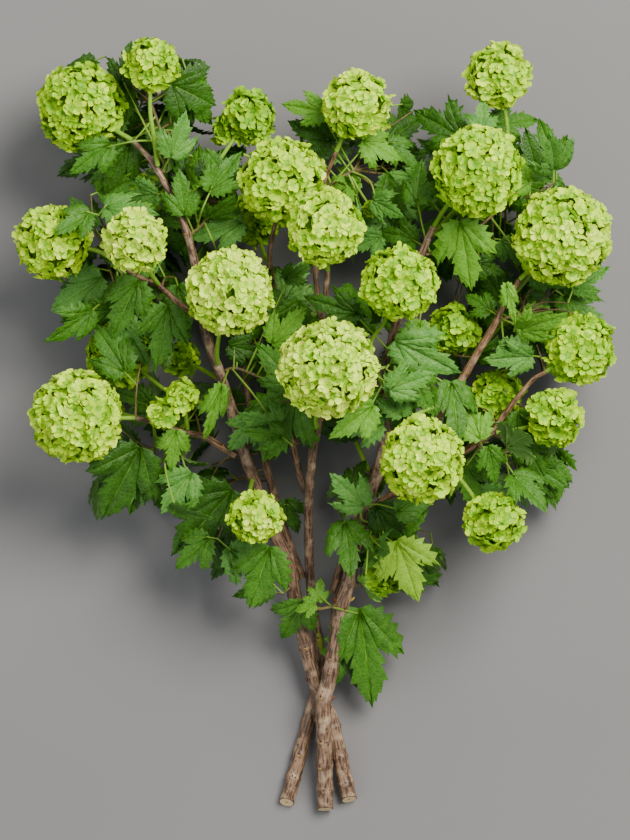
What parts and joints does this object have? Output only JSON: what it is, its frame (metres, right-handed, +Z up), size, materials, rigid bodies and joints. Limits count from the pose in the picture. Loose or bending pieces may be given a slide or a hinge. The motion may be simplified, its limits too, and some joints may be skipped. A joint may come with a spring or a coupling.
{
  "type": "bunch of cut snowball viburnum branches",
  "caption": "Loose bunch of cut snowball viburnum branches in full flower, with round pale green heads, lobed leaves and crossing woody stems, lying flat.",
  "frame": {"origin": "centre of the bunch's footprint, at the floor it lies on", "axes": "+X to the right of the bunch seen from above with its feet towards the viewer, +Y from the cut feet to the crown, +Z up from the floor"},
  "size_m": [0.4815, 0.6253, 0.2441],
  "materials": {
    "bark": "matte grey-brown young bark, pale tan at the cut ends",
    "flowers": "soft matte lime-green petals",
    "leaves": "satin deep green lobed leaves"
  },
  "bodies": {
    "root": {"middle_stem": "bark", "left_stem": "bark", "right_stem": "bark", "back_right_bough": "bark", "back_left_bough": "bark", "upper_back_bough": "bark", "top_bough": "bark", "right_bough": "bark", "far_right_bough": "bark", "lower_left_bough": "bark", "upper_left_bough": "bark", "head_top_left": "flowers", "head_top_left_small": "flowers", "head_top_back": "flowers", "head_left": "flowers", "head_left_inner": "flowers", "head_left_back": "flowers", "head_upper_middle": "flowers", "head_upper_middle_back": "flowers", "head_upper_front": "flowers", "head_top_middle": "flowers", "head_top_right": "flowers", "head_upper_right": "flowers", "head_right": "flowers", "head_centre_right": "flowers", "head_centre_left": "flowers", "head_centre": "flowers", "head_lower_right": "flowers", "head_right_back": "flowers", "head_far_right": "flowers", "head_right_low": "flowers", "head_right_lowest": "flowers", "head_right_inner": "flowers", "head_lower_left": "flowers", "head_left_low_back": "flowers", "head_lower_left_small": "flowers", "head_left_middle_small": "flowers", "head_low_middle": "flowers", "head_low_right_back": "flowers", "head_under_centre": "flowers", "head_under_left": "flowers", "head_under_upper_right": "flowers", "head_under_right": "flowers", "head_under_lower_left": "flowers", "head_under_lower_right": "flowers", "head_under_upper_middle": "flowers", "head_under_top_left": "flowers", "leaves_top_left": "leaves", "leaves_upper_left": "leaves", "leaves_left": "leaves", "leaves_lower_left": "leaves", "leaves_middle_left": "leaves", "leaves_low_left": "leaves", "leaves_foot": "leaves", "leaves_low_right": "leaves", "leaves_centre": "leaves", "leaves_upper_middle": "leaves", "leaves_upper_right": "leaves", "leaves_right": "leaves", "leaves_lower_right": "leaves"}
  },
  "joints": []
}
